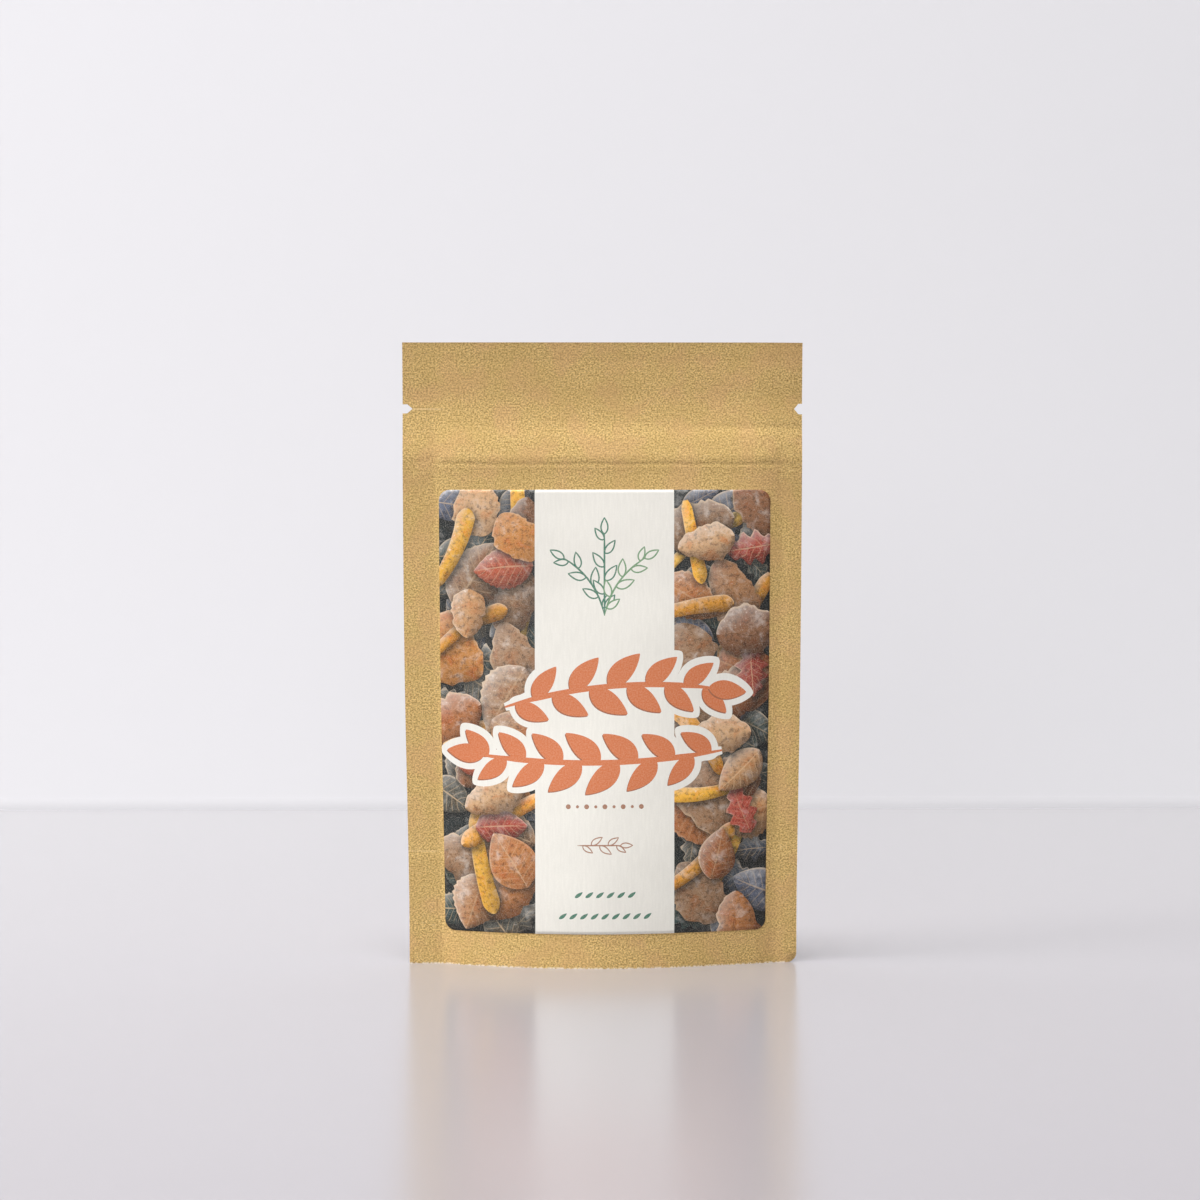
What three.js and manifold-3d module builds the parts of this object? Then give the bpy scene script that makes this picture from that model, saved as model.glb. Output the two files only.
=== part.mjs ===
// A stand-up pouch of kraft paper laminate, filled with a dry powder.
// Two side panels are sealed together down both sides and along the top.
// A folded bottom gusset spreads them at the base, so that the pouch stands by itself.
// A press-to-close zip runs across inside, and a paper label covers most of the front.
// Millimetres, +Z up, front towards -Y, origin at the middle of the base.
import * as THREE from 'three';
import { mergeVertices } from 'three/addons/utils/BufferGeometryUtils.js';
import Module from 'manifold-3d';

const wasm = await Module();
wasm.setup();

// Pouch
const POUCH_WIDTH = 110;
const POUCH_HEIGHT = 171;
const LEFT_SEAL = 8.5;
const RIGHT_SEAL = 5.5;
const TOP_SEAL_FROM = 166;
const SHEET = 0.3;
const GAP = 0.3;
const CORNER_RADIUS = 2.4;

// Gusset: its fold stands this high at the sides, and its curved seal dips to the middle
const GUSSET_HEIGHT = 31;
const GUSSET_SEAL_MIDDLE = 6;
const GUSSET_SEAL_SIDE = 29;
const GUSSET_SEAL_POWER = 2.2;
const FOLD_CAP = 0.4;
// Just above the gusset's fold, the panels close up on each other between these heights
const LEAVES_END = [32, 36];

// Zip
const ZIP_FROM = 138.6;
const ZIP_TO = 146.4;
const ZIP_MIDDLE = (ZIP_FROM + ZIP_TO) / 2;
const ZIP_REACH = 0.9;

// Label
const LABEL_LEFT = -45.1;
const LABEL_RIGHT = 46.2;
const LABEL_BOTTOM = 9.4;
const LABEL_TOP = 130.6;
const LABEL_RADIUS = 3;
const LABEL_SHEET = 0.2;
const GLUE = 0.15;

// Powder
const FILL_HEIGHT = 79;
const FILL_REACH = 0.86;
const FILL_CLEAR = 0.35;

// Tear notches punched in both side seals
const NOTCH_HEIGHT = 152.9;
const NOTCHES = [
  { side: -1, depth: 2.7, straight: 1.3, tall: 2.5 },
  { side: 1, depth: 2.2, straight: 1.0, tall: 2.9 },
];
const CUT_REACH = 20;

// How far the panels stand out in the middle of the pouch, as [height, distance]: the fill makes
// a round swelling, and the zip a flat shelf that is deeper on the front
const FILL_SWELL = [
  [0, 11],
  [20, 10.6],
  [45, 8.8],
  [73, 5.8],
  [100, 3.4],
  [120, 1.8],
  [ZIP_FROM, 0.5],
  [157, 0.15],
  [TOP_SEAL_FROM, 0],
  [POUCH_HEIGHT, 0],
];
const FRONT_SHELF = [
  [70, 0],
  [100, 0.8],
  [120, 1.8],
  [ZIP_FROM - 1.8, 2.3],
  [ZIP_FROM, 2.6],
  [ZIP_TO, 1.9],
  [157, 0.5],
  [TOP_SEAL_FROM, 0],
  [POUCH_HEIGHT, 0],
];
const BACK_SHELF = [
  [70, 0],
  [100, 0.7],
  [120, 1.3],
  [ZIP_FROM, 1.7],
  [ZIP_TO, 1.5],
  [157, 0.4],
  [TOP_SEAL_FROM, 0],
  [POUCH_HEIGHT, 0],
];
const SHELF_POWER = 20;
const SWELL_LEAN = 0.06;

const HALF_WIDTH = POUCH_WIDTH / 2;
const INSIDE_FROM = -HALF_WIDTH + LEFT_SEAL;
const INSIDE_TO = HALF_WIDTH - RIGHT_SEAL;
const INSIDE_MIDDLE = (INSIDE_FROM + INSIDE_TO) / 2;
const INSIDE_HALF = (INSIDE_TO - INSIDE_FROM) / 2;

const mix = (a, b, share) => a + (b - a) * share;
const smooth = (from, to, value) => THREE.MathUtils.smoothstep(value, from, to);

// A place across the sheet as a share of the inside, -1 and 1 at the side seals
const shareAt = (across) => {
  return THREE.MathUtils.clamp((across - INSIDE_MIDDLE) / INSIDE_HALF, -1, 1);
};

// A smooth curve through a list of [height, value] knots, level below the first
function curveAt(knots, height) {
  const last = knots.length - 1;
  let k = 0;
  while (k < last - 1 && height > knots[k + 1][0]) {
    k += 1;
  }
  const [from, start] = knots[k];
  const [to, end] = knots[k + 1];
  const rise = (end - start) / (to - from);
  // a knot's slope keeps the stretch's direction, and is at most three times its rise
  const slopeAt = (i) => {
    const before = knots[Math.max(i - 1, 0)];
    const after = knots[Math.min(i + 1, last)];
    const slope = (after[1] - before[1]) / (after[0] - before[0]);
    return slope * rise <= 0 ? 0 : Math.sign(slope) * Math.min(Math.abs(slope), 3 * Math.abs(rise));
  };
  const s = Math.max((height - from) / (to - from), 0);
  const pull = s * (1 - s) * (to - from);
  return (
    mix(start, end, s * s * (3 - 2 * s)) + pull * ((1 - s) * slopeAt(k) - s * slopeAt(k + 1))
  );
}

// The round swelling of the fill
function swellAt(across, height) {
  const share = shareAt(across);
  const lean = SWELL_LEAN * (1 - smooth(60, 110, height));
  const leaned = share + lean * (1 - share * share);
  const power = mix(1.8, 3, smooth(40, ZIP_FROM, height));
  return curveAt(FILL_SWELL, height) * (1 - Math.abs(leaned) ** power) ** 1.1;
}

// The flat shelf over the zip
function shelfAt(across, height, shelf) {
  return curveAt(shelf, height) * (1 - Math.abs(shareAt(across)) ** SHELF_POWER);
}

// How far a panel lies from the seal plane where nothing swells it: the gusset's leaves lie
// between the panels up to its fold
const seatAt = (height) => mix(3 * GAP, GAP, smooth(...LEAVES_END, height));

// How far the middle of a panel's sheet stands from the seal plane
function depthAt(across, height, shelf) {
  return seatAt(height) + swellAt(across, height) + shelfAt(across, height, shelf);
}
const frontAt = (across, height) => depthAt(across, height, FRONT_SHELF);
const backAt = (across, height) => depthAt(across, height, BACK_SHELF);

// The sheet keeps its width as it swells, so the pouch draws in: where a place across it comes
// to lie along x
function xAt(across, height) {
  const steps = 40;
  const step = across / steps;
  if (step === 0) {
    return 0;
  }
  let x = 0;
  for (let k = 0; k < steps; k += 1) {
    const slope = (swellAt(step * (k + 1), height) - swellAt(step * k, height)) / step;
    x += step * Math.sqrt(Math.max(1 - slope * slope, 0));
  }
  return x;
}

// Equal steps from one value to another, with both ends
function evenly(from, to, count) {
  return Array.from({ length: count + 1 }, (_, k) => mix(from, to, k / count));
}

// Stations that pass through each stop of a list, at most a step apart
function stations(stops, step) {
  const list = [stops[0]];
  for (let k = 1; k < stops.length; k += 1) {
    const count = Math.ceil((stops[k] - stops[k - 1]) / step);
    list.push(...evenly(stops[k - 1], stops[k], count).slice(1));
  }
  return list;
}

// Columns across a share of the pouch's inside, closer together towards the seals
function columns(count, reach) {
  const list = [];
  for (let k = 0; k <= count; k += 1) {
    const share = reach * Math.sin(Math.PI * (k / count - 0.5));
    list.push(INSIDE_MIDDLE + INSIDE_HALF * share);
  }
  return list;
}

const PANEL_STEP = 11;
const PANEL_HEIGHTS = stations(
  [0, ...LEAVES_END, 124, ZIP_FROM - 1.8, ZIP_FROM, ZIP_TO, 157, TOP_SEAL_FROM, POUCH_HEIGHT],
  PANEL_STEP,
);
const PANEL_COLUMNS = [-HALF_WIDTH, ...columns(18, 1), HALF_WIDTH];

// The end faces of a ring made of two rails with equal counts, the second walked back
function stripEnd(ring) {
  const last = ring.length - 1;
  const faces = [];
  for (let k = 0; k < ring.length / 2 - 1; k += 1) {
    faces.push([k, k + 1, last - k - 1], [k, last - k - 1, last - k]);
  }
  return faces;
}

// The end faces of a ring of any simple outline without points in a straight row
function outlineEnd(ring) {
  const flat = ring.map(([, y, z]) => new THREE.Vector2(y, z));
  const turn = THREE.ShapeUtils.isClockWise(flat);
  return THREE.ShapeUtils.triangulateShape(flat, []).map(([a, b, c]) => {
    const same = THREE.ShapeUtils.isClockWise([flat[a], flat[b], flat[c]]) === turn;
    return same ? [a, b, c] : [a, c, b];
  });
}

// A closed solid through a row of rings, each with the same count of [x, y, z] points
function loft(rings, endFaces = stripEnd) {
  const count = rings[0].length;
  const lastStart = (rings.length - 1) * count;
  const faces = [];
  for (let start = 0; start < lastStart; start += count) {
    for (let k = 0; k < count; k += 1) {
      const a = start + k;
      const b = start + ((k + 1) % count);
      faces.push([a, b, a + count], [b, b + count, a + count]);
    }
  }
  endFaces(rings[0]).forEach(([a, b, c]) => faces.push([a, c, b]));
  endFaces(rings.at(-1)).forEach((face) => faces.push(face.map((k) => lastStart + k)));
  const points = rings.flat();
  const at = (k) => new THREE.Vector3(...points[k]);
  const volume = faces.reduce((sum, [a, b, c]) => sum + at(a).dot(at(b).cross(at(c))), 0);
  const outward = faces.map(([a, b, c]) => (volume > 0 ? [a, b, c] : [a, c, b]));
  const geometry = new THREE.BufferGeometry();
  geometry.setAttribute('position', new THREE.Float32BufferAttribute(points.flat(), 3));
  geometry.setIndex(outward.flat());
  return geometry;
}

function solidOf(geometry) {
  return new wasm.Manifold(
    new wasm.Mesh({
      numProp: 3,
      vertProperties: geometry.attributes.position.array,
      triVerts: new Uint32Array(geometry.index.array),
    }),
  );
}

function geometryOf(solid) {
  const { vertProperties, triVerts } = solid.getMesh();
  const geometry = new THREE.BufferGeometry();
  geometry.setAttribute('position', new THREE.BufferAttribute(vertProperties, 3));
  geometry.setIndex([...triVerts]);
  return geometry;
}

// A shape in the x-z plane made into a bar that crosses the pouch from front to back
function crossBar(shape) {
  const bar = new THREE.ExtrudeGeometry(shape, { depth: 2 * CUT_REACH, bevelEnabled: false });
  bar.rotateX(Math.PI / 2);
  bar.translate(0, CUT_REACH, 0);
  bar.deleteAttribute('normal');
  bar.deleteAttribute('uv');
  return solidOf(mergeVertices(bar));
}

// A tear notch: straight sides at the edge of the pouch, then a point
function notch({ side, depth, straight, tall }) {
  const outside = HALF_WIDTH + 1;
  const outline = [
    [outside, -tall / 2],
    [outside, tall / 2],
    [HALF_WIDTH - straight, tall / 2],
    [HALF_WIDTH - depth, 0],
    [HALF_WIDTH - straight, -tall / 2],
  ];
  return crossBar(new THREE.Shape(outline.map(([x, z]) => new THREE.Vector2(side * x, NOTCH_HEIGHT + z))));
}

// What the rounded lower right corner takes off
function cornerScrap() {
  const edge = xAt(HALF_WIDTH, 0);
  const shape = new THREE.Shape();
  shape.moveTo(edge - CORNER_RADIUS, -1);
  shape.lineTo(edge + 1, -1);
  shape.lineTo(edge + 1, CORNER_RADIUS);
  shape.absarc(edge - CORNER_RADIUS, CORNER_RADIUS, CORNER_RADIUS, 0, -Math.PI / 2, true);
  return crossBar(shape);
}

// A side panel: side -1 is the front and 1 the back
function panel(side, standAt) {
  const rings = PANEL_COLUMNS.map((across) => {
    const face = (offset) =>
      PANEL_HEIGHTS.map((height) => [
        xAt(across, height),
        side * (standAt(across, height) + offset),
        height,
      ]);
    return [...face(SHEET / 2), ...face(-SHEET / 2).reverse()];
  });
  const cuts = [...NOTCHES.map(notch), cornerScrap()];
  return geometryOf(cuts.reduce((solid, cut) => solid.subtract(cut), solidOf(loft(rings))));
}

// One leaf of the gusset: up with the panel to its seal, and from there in to the fold
function gussetLeaf(across) {
  const bend = Math.abs(shareAt(across)) ** GUSSET_SEAL_POWER;
  const sealTop = mix(GUSSET_SEAL_MIDDLE, GUSSET_SEAL_SIDE, bend);
  const besidePanel = (height) => frontAt(across, height) - SHEET - GAP;
  const spread = besidePanel(sealTop) - GAP;
  const foldTop = sealTop + Math.sqrt((GUSSET_HEIGHT - sealTop) ** 2 - spread ** 2);
  const standAt = (height) => {
    if (height <= sealTop) {
      return besidePanel(height);
    }
    const rise = Math.min((height - sealTop) / (foldTop - FOLD_CAP - sealTop), 1);
    return mix(besidePanel(sealTop), GAP, rise);
  };
  return { sealTop, foldTop, standAt };
}

function bottomGusset() {
  const rings = PANEL_COLUMNS.map((across) => {
    const { sealTop, foldTop, standAt } = gussetLeaf(across);
    const heights = [...evenly(0, sealTop, 4), ...evenly(sealTop, foldTop - FOLD_CAP, 4).slice(1)];
    const at = (y, height) => [xAt(across, height), y, height];
    const face = (offset, top) => {
      const front = heights.map((height) => at(-standAt(height) - offset, height));
      const back = heights.map((height) => at(standAt(height) + offset, height)).reverse();
      return [...front, at(0, top), ...back];
    };
    return [...face(SHEET / 2, foldTop), ...face(-SHEET / 2, foldTop - FOLD_CAP / 2).reverse()];
  });
  return geometryOf(solidOf(loft(rings)).subtract(cornerScrap()));
}

// The powder lies on the gusset between the panels, and is a little uneven on top
function powder() {
  const rings = columns(16, FILL_REACH).map((across) => {
    const { sealTop, foldTop, standAt } = gussetLeaf(across);
    const wall = (height) => frontAt(across, height) - SHEET / 2 - FILL_CLEAR;
    const leaf = (height) => standAt(height) + SHEET / 2 + FILL_CLEAR;
    let floor = sealTop;
    while (wall(floor) - leaf(floor) < GAP) {
      floor += 0.2;
    }
    const top = FILL_HEIGHT + 1.6 * Math.sin(across / 13) + 0.8 * Math.sin(across / 5);
    const at = (y, height) => [xAt(across, height), y, height];
    // a rail goes up the front, over the middle and down the back
    const rail = (depth, heights, crown) => {
      const front = heights.map((height) => at(-depth(height), height));
      const back = heights.map((height) => at(depth(height), height)).reverse();
      return [...front, at(0, crown), ...back];
    };
    const [low, high] = LEAVES_END;
    const outer = rail(wall, [floor, low, ...evenly(high, top, 5)], top + 0.8);
    const inner = rail(leaf, evenly(floor, foldTop, 7), foldTop + FILL_CLEAR);
    return [...outer, ...inner.reverse()];
  });
  return loft(rings);
}

// The label on the front panel, with rounded corners
function frontLabel() {
  const bends = [0, 0.13, 0.4, 1].map((share) => share * LABEL_RADIUS);
  const acrosses = [
    ...bends.map((inset) => LABEL_LEFT + inset),
    ...PANEL_COLUMNS.filter((across) => across > LABEL_LEFT && across < LABEL_RIGHT),
    ...bends.map((inset) => LABEL_RIGHT - inset),
  ].sort((a, b) => a - b);
  const rows = stations([LABEL_BOTTOM, ...LEAVES_END, LABEL_TOP], PANEL_STEP);
  const rings = acrosses.map((across) => {
    const inset = Math.min(across - LABEL_LEFT, LABEL_RIGHT - across, LABEL_RADIUS);
    const cut = LABEL_RADIUS - Math.sqrt(LABEL_RADIUS ** 2 - (LABEL_RADIUS - inset) ** 2);
    const heights = [LABEL_BOTTOM + cut, ...rows.slice(1, -1), LABEL_TOP - cut];
    const face = (offset) =>
      heights.map((height) => {
        const stand = frontAt(across, height) + SHEET / 2 + offset;
        return [xAt(across, height), -stand, height];
      });
    return [...face(GLUE + LABEL_SHEET), ...face(GLUE).reverse()];
  });
  return loft(rings);
}

// The zip's sections are [distance, height] points. The distance is from the panel that carries
// the track, and the height from the zip's middle. The room is the distance between the panels.
const FLANGE_FROM = GAP;
const FLANGE_TO = 2 * GAP;
const FLANGE_HALF = (ZIP_TO - ZIP_FROM) / 2;

// A flange with a form standing on it, given as the lower half of its outline
function trackSection(half) {
  const lower = [[FLANGE_FROM, -FLANGE_HALF], [FLANGE_TO, -FLANGE_HALF], ...half];
  const upper = lower.map(([distance, height]) => [distance, -height]).reverse();
  return [...lower, ...upper];
}

// Two jaws with hooked ends
function jawSection(room) {
  const tip = room - FLANGE_TO - GAP;
  return trackSection([
    [FLANGE_TO, -2.15],
    [tip, -2.15],
    [tip, -0.65],
    [tip - 0.5, -0.65],
    [tip - 0.5, -1.45],
    [FLANGE_TO, -1.45],
  ]);
}

// A rib whose head the jaws hold
function ribSection(room) {
  const tip = room - FLANGE_TO - GAP;
  return trackSection([
    [FLANGE_TO, -0.3],
    [tip - 0.6, -0.3],
    [tip - 0.6, -0.8],
    [tip, -0.3],
  ]);
}

// A zip track from just inside one side seal to just inside the other
function zipTrack(side, section) {
  const rings = columns(14, ZIP_REACH).map((across) => {
    // the flange stands upright, so the panel's nearer edge of it sets its distance
    const front = Math.min(frontAt(across, ZIP_FROM), frontAt(across, ZIP_TO)) - SHEET / 2;
    const back = Math.min(backAt(across, ZIP_FROM), backAt(across, ZIP_TO)) - SHEET / 2;
    const carrier = side < 0 ? front : back;
    return section(front + back).map(([distance, height]) => [
      xAt(across, ZIP_MIDDLE + height),
      side * (carrier - distance),
      ZIP_MIDDLE + height,
    ]);
  });
  return loft(rings, outlineEnd);
}

function piece(name, geometry, color, roughness) {
  const mesh = new THREE.Mesh(geometry, new THREE.MeshStandardMaterial({ color, roughness, metalness: 0 }));
  mesh.name = name;
  return mesh;
}

const KRAFT = 0xc19f69;
const FILM = 0xe6e2d8;
const PAPER = 0xeeece4;
const POWDER = 0x9b7a4c;

const pouch = new THREE.Group();
pouch.add(
  piece('front_panel', panel(-1, frontAt), KRAFT, 0.85),
  piece('back_panel', panel(1, backAt), KRAFT, 0.85),
  piece('bottom_gusset', bottomGusset(), KRAFT, 0.85),
  piece('zip_track_front', zipTrack(-1, jawSection), FILM, 0.35),
  piece('zip_track_back', zipTrack(1, ribSection), FILM, 0.35),
  piece('front_label', frontLabel(), PAPER, 0.6),
  piece('mushroom_powder', powder(), POWDER, 0.95),
);

export default pouch;
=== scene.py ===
"""A filled kraft paper stand-up pouch with a printed label, on a glossy pale table."""
import math
import random

import bpy
import numpy as np
from mathutils import Matrix, Vector
from mathutils.geometry import delaunay_2d_cdt


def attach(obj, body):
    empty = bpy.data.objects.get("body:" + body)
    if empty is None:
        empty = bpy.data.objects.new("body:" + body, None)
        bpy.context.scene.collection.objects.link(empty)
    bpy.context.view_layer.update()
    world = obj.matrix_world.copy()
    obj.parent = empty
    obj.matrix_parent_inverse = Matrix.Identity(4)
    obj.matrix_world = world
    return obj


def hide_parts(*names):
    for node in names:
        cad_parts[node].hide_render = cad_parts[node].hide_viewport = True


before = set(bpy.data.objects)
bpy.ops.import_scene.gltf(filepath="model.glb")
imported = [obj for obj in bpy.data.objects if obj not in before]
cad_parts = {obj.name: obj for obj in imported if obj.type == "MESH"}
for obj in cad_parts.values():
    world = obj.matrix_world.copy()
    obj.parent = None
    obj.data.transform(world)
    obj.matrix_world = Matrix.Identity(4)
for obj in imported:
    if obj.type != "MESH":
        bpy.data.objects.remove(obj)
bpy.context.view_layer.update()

# A millimetre in metres, and the millimetres in one unit of a sheet's flat UV layer
MM = 0.001
FLAT_UNIT = 100

# The pouch, in millimetres, as the frame has it
WIDTH = 110.0
HEIGHT = 171.0
HALF = WIDTH / 2
LEFT_SEAL = 8.5
RIGHT_SEAL = 5.5
TOP_SEAL_FROM = 166.0
INSIDE_MIDDLE = (LEFT_SEAL - RIGHT_SEAL) / 2
INSIDE_HALF = (WIDTH - LEFT_SEAL - RIGHT_SEAL) / 2
CORNER_RADIUS = 2.4
GUSSET_HEIGHT = 31.0
GUSSET_SEAL_MIDDLE = 6.0
GUSSET_SEAL_SIDE = 29.0
GUSSET_SEAL_POWER = 2.2
ZIP_FROM = 138.6
ZIP_TO = 146.4
NOTCH_HEIGHT = 152.9
# The tear notches, as (side, depth, depth of the straight part, height)
NOTCHES = [(1, 2.2, 1.0, 2.9), (-1, 2.7, 1.3, 2.5)]
LABEL_LEFT = -45.1
LABEL_RIGHT = 46.2
LABEL_BOTTOM = 9.4
LABEL_TOP = 130.6
LABEL_RADIUS = 3.0
STRIPE_LEFT = -18.7
STRIPE_RIGHT = 19.6
STRIPE_MIDDLE = (STRIPE_LEFT + STRIPE_RIGHT) / 2
LABEL_MIDDLE = (LABEL_BOTTOM + LABEL_TOP) / 2

# Sheets as thin as they look, set apart by a hair
PAPER = 0.16
LABEL_PAPER = 0.1
HAIR = 0.03
# How far the middle of a panel's sheet stands from the seal plane, at the seals and in the middle,
# above the gusset's fold and below it, and the heights between which it passes over
SEAT = PAPER / 2 + HAIR
SEAT_BELOW = SEAT + PAPER + HAIR
SEAT_HEIGHTS = (30, 34)
FULL_SEAT = 0.3
FULL_SEAT_BELOW = 0.9
FULL_SEAT_HEIGHTS = (30, 75)
FULL_SEAT_SHARE = 0.86

# How far the panels swell out in the middle, as (height, distance)
FILL_SWELL = [
    (0, 11), (20, 10.6), (45, 8.8), (73, 5.8), (100, 3.4), (120, 1.8),
    (ZIP_FROM, 0.5), (157, 0.15), (TOP_SEAL_FROM, 0), (HEIGHT, 0),
]
# The swell's form across: a power low down and at the zip, a lean to one side, and soft edges
SWELL_POWERS = (1.8, 3)
SWELL_POWER_FROM = 40
SWELL_EDGE_POWER = 1.1
SWELL_LEAN = 0.06
SWELL_LEAN_HEIGHTS = (60, 110)
SWELL_SOFT = 0.05

# How far the whole upper part of the bag, seals and all, bends towards the front
LEAN = [
    (60, 0), (100, 0.4), (120, 0.8), (131, 1.25), (138, 1.75), (139.8, 1.84), (142, 1.74), (146, 1.4),
    (148, 1.27), (150.5, 1.17), (153, 1.12), (156, 1.2), (160, 1.6), (165, 2.1), (HEIGHT, 2.8),
]
# The middle of the top bends a little further, and the right margin less
TOP_BOW = 0.12
TOP_BOW_FROM = 150
MARGIN_TILT = -0.009
MARGIN_TILT_FROM = 46
# The rims at the top and the bottom, as (how far they turn, over what height)
TOP_LIP = (0.07, 0.8)
BOTTOM_LIP = (-0.08, 0.9)
# The lower right corner turns back
CORNER_CURL = -1.5
CORNER_CURL_REACH = 3.6
# The unevenness along the top edge, as (size, seed, length)
TOP_WAVES = (0.25, 17, 55)
TOP_WAVES_FROM = 155

# What differs between the panels: how far the zip holds each one out, nearly to the side seals, as
# (height, distance); its waves, as (size, seed, length); how deep the zip shows, from which side,
# and from where across the crease above it is crisp
FRONT = {
    "shelf": [
        (60, 0), (100, 0.3), (120, 0.64), (131, 0.57), (135, 0.55), (138, 0.66), (140.4, 0.61),
        (142, 0.54), (143.7, 0.49), (145.4, 0.38), (147, 0.2), (148.7, 0.07), (150.3, 0.02),
        (156, 0.04), (160, 0.02), (TOP_SEAL_FROM, 0), (HEIGHT, 0),
    ],
    "shelf_power": 12,
    "waves": [(0.16, 3, 42), (0.05, 8, 17)],
    "zip_depth": 1,
    "zip_side": 1,
    "crisp_from": 32,
}
BACK = {
    "shelf": [
        (60, 0), (100, 1.1), (120, 2.15), (137.4, 3.15), (139.4, 3.55), (ZIP_TO, 2.95), (150, 2.1),
        (157, 1.15), (162, 0.45), (TOP_SEAL_FROM, 0), (HEIGHT, 0),
    ],
    "shelf_power": 18,
    "waves": [(0.18, 5, 38), (0.05, 11, 15)],
    "zip_depth": 0.7,
    "zip_side": -1,
    "crisp_from": -20,
}

# Lines pressed into the sheets, as (place, half width, depth), a depth above 0 standing out
ZIP_RIDGE = (ZIP_FROM + 1.0, 0.8, 0.07)
ZIP_CREASE = (ZIP_TO + 1.3, 0.95, -0.17)
LEFT_SEAL_LINE = (-HALF + LEFT_SEAL, 1.2, -0.025)
RIGHT_SEAL_LINE = (HALF - RIGHT_SEAL, 1.2, -0.025)
TOP_SEAL_LINE = (TOP_SEAL_FROM, 0.9, -0.04)
GUSSET_FOLD_LINE = (GUSSET_HEIGHT, 0.5, -0.1)
TEAR_LINE = (NOTCH_HEIGHT - 0.1, 0.3, 0.09)
# The curved seal over the gusset, as (half width, depth)
CURVED_SEAL_LINE = (0.8, -0.05)
# Where across the tear line fades out
TEAR_FADE = (-HALF + 11, -HALF + 5)
# Shares of the inside's half width from which the zip's ridge and the curved seal fade out, and
# the gusset's fold fades in
RIDGE_TO = 0.92
CURVED_SEAL_TO = 0.85
FOLD_FROM = 0.9
# The waves that make up a sheet's unevenness
WAVE_COUNT = 6
# Where a sheet is free to be uneven: up to a share across and a height, and less along a line
FREE_TO = 0.8
FREE_BELOW = 158
ZIP_HOLD = ((ZIP_FROM + ZIP_TO) / 2, 7, 0.8)
# How the zip's lines wander, as (size, seed, length), and how far the crease takes to grow crisp
ZIP_WANDER = (0.3, 21, 30)
CRISP_BEFORE = 14
CRISP_AFTER = 4
# Creases at the ends of the zip, as (start, end, depth), across and up
CRINKLES = [
    ((45.5, 141.5), (53.5, 144.6), 0.09),
    ((44.5, 138.2), (54, 136.6), -0.1),
    ((46.5, 134.5), (52, 130.5), 0.07),
    ((-53.5, 144.5), (-46, 141), 0.08),
    ((-53, 137.6), (-44.5, 139.6), -0.08),
    ((-52.5, 133), (-47, 136), 0.06),
]
CRINKLE_HALF = 0.8
CRINKLE_END = 1.5


def mix(a, b, share):
    return a + (b - a) * share


def smooth(start, end, value):
    share = np.clip((value - start) / (end - start), 0, 1)
    return share * share * (3 - 2 * share)


def bump(value, centre, half):
    """1 at the centre, falling softly to nothing about two half widths away."""
    return np.exp(-(((value - centre) / half) ** 2))


def line_at(value, line):
    """The relief of a line, given as (place, half width, depth)."""
    place, half, depth = line
    return depth * bump(value, place, half)


def share_at(across):
    return np.clip((across - INSIDE_MIDDLE) / INSIDE_HALF, -1, 1)


def curve_at(knots, height):
    """A smooth curve through the knots that doesn't overshoot them, level below the first."""
    z = np.array([knot[0] for knot in knots], float)
    f = np.array([knot[1] for knot in knots], float)
    last = len(z) - 1
    k = np.clip(np.searchsorted(z, height, side="right") - 1, 0, last - 1)
    span = z[k + 1] - z[k]
    rise = (f[k + 1] - f[k]) / span

    def slope_at(i):
        before = np.maximum(i - 1, 0)
        after = np.minimum(i + 1, last)
        slope = (f[after] - f[before]) / (z[after] - z[before])
        held = np.sign(slope) * np.minimum(abs(slope), 3 * abs(rise))
        return np.where(slope * rise <= 0, 0, held)

    s = np.clip((height - z[k]) / span, 0, 1)
    pull = s * (1 - s) * span
    return mix(f[k], f[k + 1], s * s * (3 - 2 * s)) + pull * ((1 - s) * slope_at(k) - s * slope_at(k + 1))


def swell_at(across, height):
    share = share_at(across)
    lean = SWELL_LEAN * (1 - smooth(*SWELL_LEAN_HEIGHTS, height))
    leaned = share + lean * (1 - share * share)
    power = mix(*SWELL_POWERS, smooth(SWELL_POWER_FROM, ZIP_FROM, height))
    form = (1 - np.minimum(abs(leaned), 1) ** power) ** SWELL_EDGE_POWER
    return curve_at(FILL_SWELL, height) * (1 + SWELL_SOFT) * form * form / (form + SWELL_SOFT)


def seat_at(across, height):
    full = mix(FULL_SEAT_BELOW, FULL_SEAT, smooth(*FULL_SEAT_HEIGHTS, height))
    thin = mix(SEAT_BELOW, SEAT, smooth(*SEAT_HEIGHTS, height))
    return mix(full, thin, smooth(FULL_SEAT_SHARE, 1, abs(share_at(across))))


def gusset_seal_at(across):
    """The height of the curved seal between a panel and the gusset."""
    return mix(GUSSET_SEAL_MIDDLE, GUSSET_SEAL_SIDE, abs(share_at(across)) ** GUSSET_SEAL_POWER)


# Where a place across the sheet comes to lie along x, as a table: the sheet keeps its width
TABLE_STEP = 0.5
TABLE_ACROSS = np.arange(-HALF, HALF + TABLE_STEP / 2, TABLE_STEP)
TABLE_HEIGHTS = np.arange(0, HEIGHT + 0.5, 1.0)


def x_table():
    across, height = np.meshgrid(TABLE_ACROSS, TABLE_HEIGHTS)
    slope = np.diff(swell_at(across, height), axis=1) / TABLE_STEP
    run = np.sqrt(np.clip(1 - slope ** 2, 0, 1)) * TABLE_STEP
    x = np.concatenate([np.zeros((len(TABLE_HEIGHTS), 1)), np.cumsum(run, axis=1)], axis=1)
    return x - x[:, len(TABLE_ACROSS) // 2][:, None]


X_TABLE = x_table()


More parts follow.
